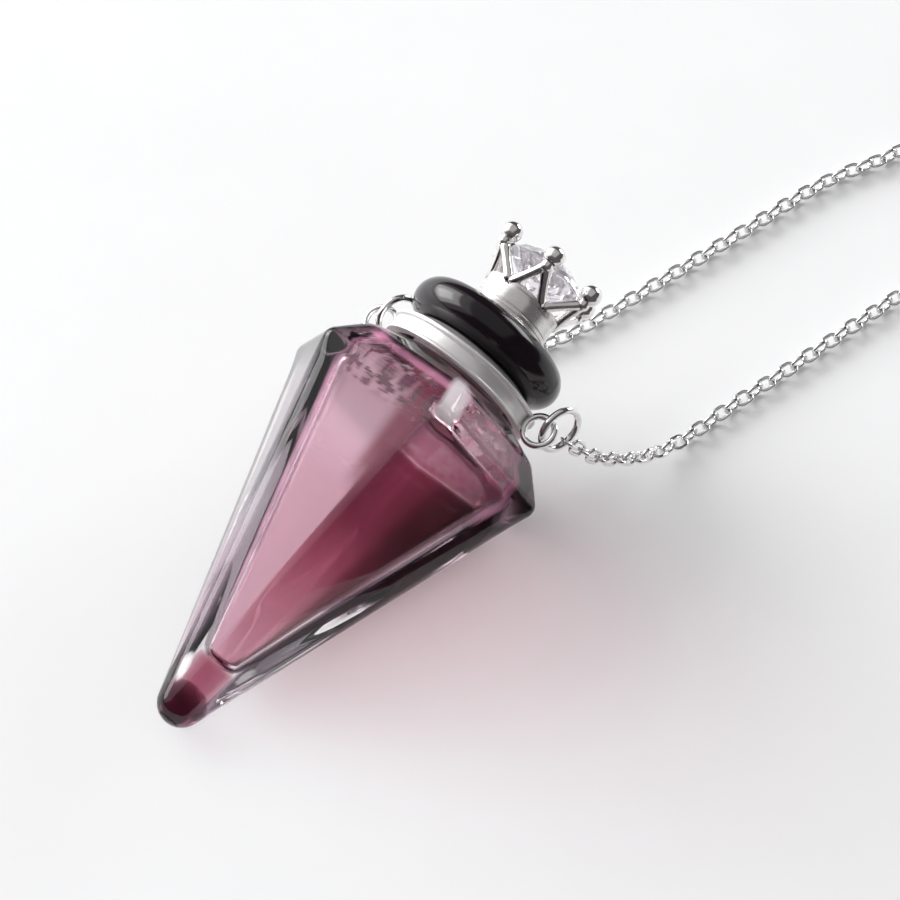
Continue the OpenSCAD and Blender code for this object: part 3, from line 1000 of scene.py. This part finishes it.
TUBE_Z = 0.76
RIGHT_ROUTE = [
    (9.97, 7.53, 9.76), (10.6, 8.8, 7.9), (11.1, 10, 6.4), (11.6, 11.9, 4.7), (12.1, 14.4, 2.9),
    (12.5, 17.2, 1.5), (12.9, 20.4, 0.8), (13.6, 25.4, TUBE_Z), (14.8, 32, TUBE_Z), (17.2, 46, TUBE_Z),
    (19.5, 55, TUBE_Z), (24, 67, TUBE_Z), (31, 81, TUBE_Z), (49, 112, TUBE_Z), (55, 130, TUBE_Z),
    (56.94, 149, TUBE_Z), (54, 168, TUBE_Z), (46, 185, TUBE_Z), (35, 197, TUBE_Z), (20.81, 203.19, 0.86)]
LEFT_ROUTE = [
    (-7.61, 7.04, 9.74), (-8.1, 9.1, 6.1), (-7.7, 10.3, 4.2), (-6.8, 11.9, 2.4), (-5.6, 14, 1.2),
    (-4.3, 16.5, 0.8), (-2.7, 19.4, TUBE_Z), (-1, 25, TUBE_Z), (2.2, 41, TUBE_Z), (4, 50, TUBE_Z),
    (6.6, 57, TUBE_Z), (8.6, 66, TUBE_Z), (1, 96, TUBE_Z), (-8, 113, TUBE_Z), (-16, 131, TUBE_Z),
    (-18.94, 150, TUBE_Z), (-17, 169, TUBE_Z), (-11, 185, TUBE_Z), (-2, 198, TUBE_Z),
    (9.19, 204.01, 0.86)]


def smooth_route(route, steps=8):
    """A smooth curve through the route's points, in metres."""
    points = [Vector(p) * MM for p in route]
    last = len(points) - 1
    made = []
    for i in range(last):
        a, b = points[max(i - 1, 0)], points[i]
        c, d = points[i + 1], points[min(i + 2, last)]
        for step in range(steps):
            t = step / steps
            made.append(0.5 * (2 * b + (c - a) * t + (2 * a - 5 * b + 4 * c - d) * t * t
                               + (3 * b - a - 3 * c + d) * t ** 3))
    return made + [points[last]]


def stations(path, pitch, odd):
    """Points about a pitch apart from end to end of a path, and the direction at each."""
    total = sum((b - a).length for a, b in zip(path, path[1:]))
    count = round(total / pitch)
    if count % 2 != odd:
        count += 1
    step = total / count
    made = [(path[0], (path[1] - path[0]).normalized())]
    travelled = 0.0
    for a, b in zip(path, path[1:]):
        leg = (b - a).length
        while len(made) < count and len(made) * step <= travelled + leg:
            made.append((a.lerp(b, (len(made) * step - travelled) / leg), (b - a).normalized()))
        travelled += leg
    return made + [(path[-1], (path[-1] - path[-2]).normalized())]


def sides_of(ahead):
    """A level side and a top for a direction."""
    side = ahead.cross(Vector((0, 0, 1)))
    if side.length < 0.2:
        side = Vector((1, 0, 0))
    side.normalize()
    return side, side.cross(ahead)


LINK_SIDES = 16
WIRE_SIDES = 6
LINK_LENGTH = 1.95 * MM
LINK_WIDTH = 1.5 * MM
LINK_WIRE = 0.35 * MM
LOOSE_ROLL = 14
ROLL_STEP = 0.37
SETTLING_LINKS = 6
TWISTED_LINKS = 10


def link_outline():
    """The middle line of an oval link along X, and the way out at each point."""
    r = (LINK_WIDTH - LINK_WIRE) / 2
    straight = (LINK_LENGTH - LINK_WIDTH) / 2
    made = []
    for i in range(LINK_SIDES):
        turn = 2 * math.pi * (i + 0.5) / LINK_SIDES
        x, y = r * math.cos(turn), r * math.sin(turn)
        out = Vector((math.cos(turn), math.sin(turn), 0))
        made.append((Vector((x + math.copysign(straight, x), y, 0)), out))
    return made


def chain_mesh(name, route, held_by):
    """Interlocked links; the first one hangs on a wire that runs along held_by, the last one stands."""
    outline = link_outline()
    points, faces = [], []
    path = smooth_route(route)
    ahead = (path[1] - path[0]).normalized()
    side, top = sides_of(ahead)
    across = Vector(held_by).cross(ahead)
    first_roll = math.atan2(across.dot(top), across.dot(side))
    turns = round(first_roll / math.radians(90))
    twist = first_roll - math.radians(90) * turns
    places = stations(path, LINK_LENGTH - 2 * LINK_WIRE, (turns + 1) % 2)
    for index, (place, ahead) in enumerate(places):
        side, top = sides_of(ahead)
        loose = min(index, len(places) - 1 - index, SETTLING_LINKS) / SETTLING_LINKS
        sway = LOOSE_ROLL * loose * noise.noise(Vector((index * ROLL_STEP, 0, 0)))
        roll = math.radians(90 * (turns + index) + sway) + twist * max(0, 1 - index / TWISTED_LINKS)
        across = side * math.cos(roll) + top * math.sin(roll)
        normal = ahead.cross(across)
        faces += wire_faces(LINK_SIDES, WIRE_SIDES, len(points))
        for middle, out in outline:
            centre = place + ahead * middle.x + across * middle.y
            direction = ahead * out.x + across * out.y
            for k in range(WIRE_SIDES):
                turn = 2 * math.pi * k / WIRE_SIDES
                away = direction * math.cos(turn) + normal * math.sin(turn)
                points.append(centre + away * LINK_WIRE / 2)
    return mesh_of(name, points, faces)


class PENDANT_OT_chain(bpy.types.Operator):
    """Makes both strands of the necklace as interlocked links"""

    bl_idname = "pendant.chain"
    bl_label = "Link chain"

    def execute(self, context):
        silver = silver_material("Chain silver", scale=1500.0, smooth=0.06, dull=0.2)
        for name, route, held_by, cad in (
                ("links_right", RIGHT_ROUTE, (0.153, 0.934, 0.324), "chain_right"),
                ("links_left", LEFT_ROUTE, (0.22, 0.967, 0.132), "chain_left")):
            piece(name, chain_mesh(name, route, held_by), silver, "bottle", "silver", cad)
        return {"FINISHED"}


# Studio

CAMERA_SHIFT = (0.0377, -0.0259)
FLOOR_DROP = 0.02 * MM
ROOM_COLOUR = (0.95, 0.9, 0.93, 1)
ROOM_STRENGTH = 0.09
PALE_COLOUR = (0.93, 0.94, 0.95, 1)
DIFFUSE_FILL = 0.13
CARD_R = 47 * MM
CARD_HEIGHTS = (0.3 * MM, 45 * MM)
CARD_TURNS = (15, 35, 55, 75, 95, 115)
# Each soft light's name, azimuth, elevation, distance, width, height and power
LIGHTS = (
    ("window", -85, 24, 1.2, 0.64, 0.56, 5.5),
    ("window_glow", -85, 27, 1.24, 1.32, 1.0, 16.0),
    ("window_halo", -82, 36, 1.28, 2.3, 1.5, 8.0),
    ("back_window", 168, 15, 1.2, 0.6, 0.4, 4.5),
    ("ceiling", 0, 90, 1.5, 2.4, 2.4, 6.0))


def outward(azimuth, elevation):
    """The direction towards an azimuth and an elevation, both in radians."""
    return Vector((math.sin(azimuth) * math.cos(elevation), -math.cos(azimuth) * math.cos(elevation),
                   math.sin(elevation)))


def aim(made, target):
    """Turns an object's -Z axis towards a point."""
    direction = Vector(target) - made.location
    made.rotation_mode = "QUATERNION"
    made.rotation_quaternion = direction.to_track_quat("-Z", "Y")


def in_studio(name, data):
    """Links an object of the studio."""
    made = bpy.data.objects.new(name, data)
    bpy.context.scene.collection.objects.link(made)
    return made


def soft_light(name, azimuth, elevation, distance, width, height, power):
    """A soft box that the camera doesn't see, placed by its angles round the pendant."""
    data = bpy.data.lights.new(name, "AREA")
    data.shape = "RECTANGLE"
    data.size = width
    data.size_y = height
    data.energy = power
    made = in_studio(name, data)
    made.location = outward(math.radians(azimuth), math.radians(elevation)) * distance
    aim(made, (0, 0, 0.01))
    made.visible_camera = False


def place_camera():
    """The photo's camera, aimed at the middle of the girdle."""
    s = studio()
    centre = axis_frame().translation
    data = bpy.data.cameras.new("camera")
    data.sensor_width = 36
    data.lens = s.lens
    data.shift_x, data.shift_y = CAMERA_SHIFT
    data.clip_start = 0.01
    data.clip_end = 20
    camera = in_studio("camera", data)
    camera.location = centre + outward(s.azimuth, s.elevation) * s.distance
    aim(camera, centre)
    bpy.context.scene.camera = camera


def lay_surface():
    """The pale surface, a hair below the pendant."""
    tone = studio().floor_colour
    grid = bmesh.new()
    bmesh.ops.create_grid(grid, x_segments=2, y_segments=2, size=3)
    mesh = bpy.data.meshes.new("surface")
    grid.to_mesh(mesh)
    grid.free()
    floor = in_studio("surface", mesh)
    floor.location.z = -FLOOR_DROP
    made, tree, shader, _ = material("Pale surface")
    shader.inputs["Specular IOR Level"].default_value = 0.15
    mottle(tree, shader, tone, [c * 0.975 for c in tone], 38.0)
    wear_shader(tree, shader, 420.0, 0.5, 0.8, 0.15)
    floor.data.materials.append(made)


def light_room():
    """A dim room, pale where the camera sees it, and the soft lights."""
    world = bpy.data.worlds.new("Studio")
    bpy.context.scene.world = world
    world.use_nodes = True
    tree = world.node_tree
    back = next(n for n in tree.nodes if n.type == "BACKGROUND")
    back.inputs["Color"].default_value = ROOM_COLOUR
    back.inputs["Strength"].default_value = ROOM_STRENGTH
    pale = node(tree, "ShaderNodeBackground", {"Color": PALE_COLOUR, "Strength": 1.0})
    path = node(tree, "ShaderNodeLightPath")
    output = next(n for n in tree.nodes if n.type == "OUTPUT_WORLD")
    fill = math_node(tree, "MULTIPLY", path.outputs["Is Diffuse Ray"], DIFFUSE_FILL)
    seen = math_node(tree, "ADD", path.outputs["Is Camera Ray"], fill)
    mix_shaders(tree, seen, back, pale, output)
    for light in LIGHTS:
        soft_light(*light)


def stand_card():
    """A curved black card that is seen only in reflections and through the glass."""
    points = [Vector((math.sin(turn) * CARD_R, -math.cos(turn) * CARD_R, z))
              for turn in map(math.radians, CARD_TURNS) for z in CARD_HEIGHTS]
    faces = [[2 * i, 2 * i + 2, 2 * i + 3, 2 * i + 1] for i in range(len(CARD_TURNS) - 1)]
    card = in_studio("flag", mesh_of("flag", points, faces, smooth=False))
    made, _, shader, _ = material("Black card")
    shader.inputs["Base Color"].default_value = (0.04, 0.035, 0.038, 1)
    shader.inputs["Roughness"].default_value = 0.9
    card.data.materials.append(made)
    card.visible_camera = False
    card.visible_diffuse = False
    card.visible_shadow = False


class PENDANT_OT_studio(bpy.types.Operator):
    """Sets the camera, the pale surface and the soft lights"""

    bl_idname = "pendant.studio"
    bl_label = "Studio"

    def execute(self, context):
        place_camera()
        lay_surface()
        stand_card()
        light_room()
        context.scene.view_settings.view_transform = "Standard"
        return {"FINISHED"}


class PENDANT_PT_panel(bpy.types.Panel):
    """Lists the steps that make the pendant"""

    bl_label = "Bottle pendant"
    bl_idname = "PENDANT_PT_panel"
    bl_space_type = "VIEW_3D"
    bl_region_type = "UI"
    bl_category = "Pendant"

    def draw(self, context):
        for settings in (context.scene.pendant_studio, context.scene.pendant_vial):
            box = self.layout.box()
            for name in settings.__annotations__:
                box.prop(settings, name)
        for operator in STEPS:
            self.layout.operator(operator.bl_idname)


STEPS = (PENDANT_OT_studio, PENDANT_OT_vial, PENDANT_OT_metal, PENDANT_OT_bead, PENDANT_OT_stone,
         PENDANT_OT_chain)
CLASSES = (VialSettings, StudioSettings, *STEPS, PENDANT_PT_panel)


def register():
    for made in CLASSES:
        bpy.utils.register_class(made)
    bpy.types.Scene.pendant_vial = bpy.props.PointerProperty(type=VialSettings)
    bpy.types.Scene.pendant_studio = bpy.props.PointerProperty(type=StudioSettings)


def unregister():
    del bpy.types.Scene.pendant_studio
    del bpy.types.Scene.pendant_vial
    for made in reversed(CLASSES):
        bpy.utils.unregister_class(made)


def main():
    register()
    bpy.ops.pendant.studio()
    bpy.ops.pendant.vial()
    bpy.ops.pendant.metal()
    bpy.ops.pendant.bead()
    bpy.ops.pendant.stone()
    bpy.ops.pendant.chain()


if __name__ == "__main__":
    main()
